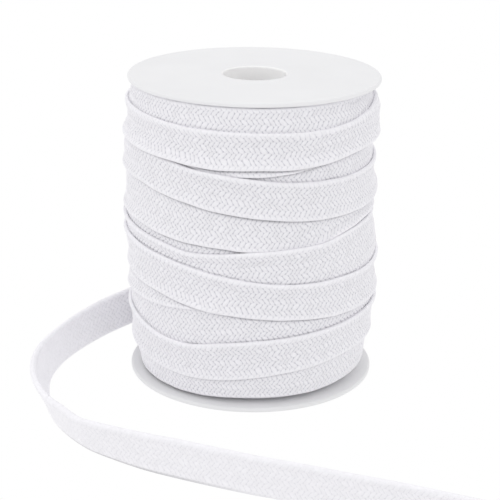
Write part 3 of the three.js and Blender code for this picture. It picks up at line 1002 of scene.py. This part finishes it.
def corner(radius, z, rounding, from_degrees, to_degrees, steps=8):
    """Points around a rounded corner of an outline, about its centre."""
    turn = np.radians(np.linspace(from_degrees, to_degrees, steps + 1))
    return [(radius + rounding * math.cos(t), z + rounding * math.sin(t)) for t in turn]


def add_flange(name, node, material, upside_down):
    """A flange and its spigot, turned from one outline whose outer face is at height 0."""
    low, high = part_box(node)
    outer_face = low.z if upside_down else high.z
    spigot_end = low.z - high.z
    spigot_radius = BORE_RADIUS + SPIGOT_WALL
    rim_centre = high.x - FLANGE_ROUNDING
    outline = [
        (BORE_RADIUS, spigot_end + SPIGOT_BEVEL),
        (BORE_RADIUS + SPIGOT_BEVEL, spigot_end),
        (spigot_radius, spigot_end),
        (spigot_radius, -FLANGE_THICKNESS),
        *corner(rim_centre, FLANGE_ROUNDING - FLANGE_THICKNESS, FLANGE_ROUNDING, -90, 0),
        *corner(rim_centre, -FLANGE_ROUNDING, FLANGE_ROUNDING, 0, 90),
        *corner(BORE_RADIUS + BORE_LIP, -BORE_LIP, BORE_LIP, 90, 180),
    ]
    radius, z = np.array(outline).T
    if upside_down:
        radius, z = radius[::-1], -z[::-1]
    piece = lathe(name, radius, outer_face + z, FLANGE_SEGMENTS, material)
    flatten_faces(piece)
    finish_piece(piece, "spool_plastic", node)


def flatten_faces(piece):
    """Flat faces stay flat beside their rounded edges."""
    modifier = piece.modifiers.new("flat_faces", "WEIGHTED_NORMAL")
    modifier.keep_sharp = True


def add_hub(material):
    """The tube between the flanges, around both spigots."""
    low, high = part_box("core_tube")
    radius = np.array([high.x - HUB_WALL, high.x, high.x, high.x - HUB_WALL])
    z = np.array([low.z, low.z, high.z, high.z])
    finish_piece(lathe("hub", radius, z, HUB_SEGMENTS, material), "spool_plastic", "core_tube")


def add_floor():
    """A white floor, equally bright everywhere."""
    corners = [(-1, -1), (1, -1), (1, 1), (-1, 1)]
    mesh = bpy.data.meshes.new("floor")
    mesh.from_pydata([(x * FLOOR_REACH, y * FLOOR_REACH, 0) for x, y in corners], [], [(0, 1, 2, 3)])
    floor = bpy.data.objects.new("floor", mesh)
    bpy.context.scene.collection.objects.link(floor)
    material = bpy.data.materials.new("white_floor")
    material.use_nodes = True
    tree = material.node_tree
    tree.nodes.clear()
    glow = tree.nodes.new("ShaderNodeEmission")
    glow.inputs["Strength"].default_value = FLOOR_GLOW
    output = tree.nodes.new("ShaderNodeOutputMaterial")
    tree.links.new(glow.outputs[0], output.inputs["Surface"])
    mesh.materials.append(material)
    floor.visible_diffuse = False


def add_surroundings():
    """Soft light from all around. Its brightness changes with the height that it comes from."""
    scene = bpy.context.scene
    scene.view_settings.view_transform = "Standard"
    world = bpy.data.worlds.new("soft_room")
    world.use_nodes = True
    tree = world.node_tree
    direction = tree.nodes.new("ShaderNodeTexCoord")
    split = tree.nodes.new("ShaderNodeSeparateXYZ")
    tree.links.new(direction.outputs["Generated"], split.inputs[0])
    to_share = tree.nodes.new("ShaderNodeMapRange")
    to_share.inputs["From Min"].default_value = -1
    tree.links.new(split.outputs["Z"], to_share.inputs["Value"])
    ramp = tree.nodes.new("ShaderNodeValToRGB")
    elements = ramp.color_ramp.elements
    while len(elements) < len(SURROUNDINGS):
        elements.new(0.5)
    for element, (height, glow) in zip(elements, SURROUNDINGS):
        element.position = (height + 1) / 2
        element.color = (glow, glow, glow, 1)
    tree.links.new(to_share.outputs[0], ramp.inputs["Fac"])
    tree.links.new(ramp.outputs["Color"], tree.nodes["Background"].inputs["Color"])
    scene.world = world


def add_soft_lights():
    for name, place, size, power in SOFT_LIGHTS:
        data = bpy.data.lights.new(name, "AREA")
        data.shape = "SQUARE"
        data.size = size
        data.energy = power
        light = bpy.data.objects.new(name, data)
        bpy.context.scene.collection.objects.link(light)
        turn = (AIM - Vector(place)).to_track_quat("-Z", "Y").to_matrix().to_4x4()
        light.matrix_world = Matrix.Translation(place) @ turn


add_camera()
cotton = cotton_material()
plastic = plastic_material("spool_plastic", *PLASTIC)
# The lower flange's plastic is a darker copy: painted shade from the roll that overhangs it.
shaded_lower_plastic = plastic_material("spool_plastic_lower_shaded", *SHADED_LOWER_PLASTIC)
leaving = add_loose_end(cotton)
add_winding(cotton, leaving)
add_flange("upper_flange", "flange_top", plastic, False)
add_flange("lower_flange", "flange_bottom", shaded_lower_plastic, True)
add_hub(plastic)
add_floor()
add_surroundings()
add_soft_lights()
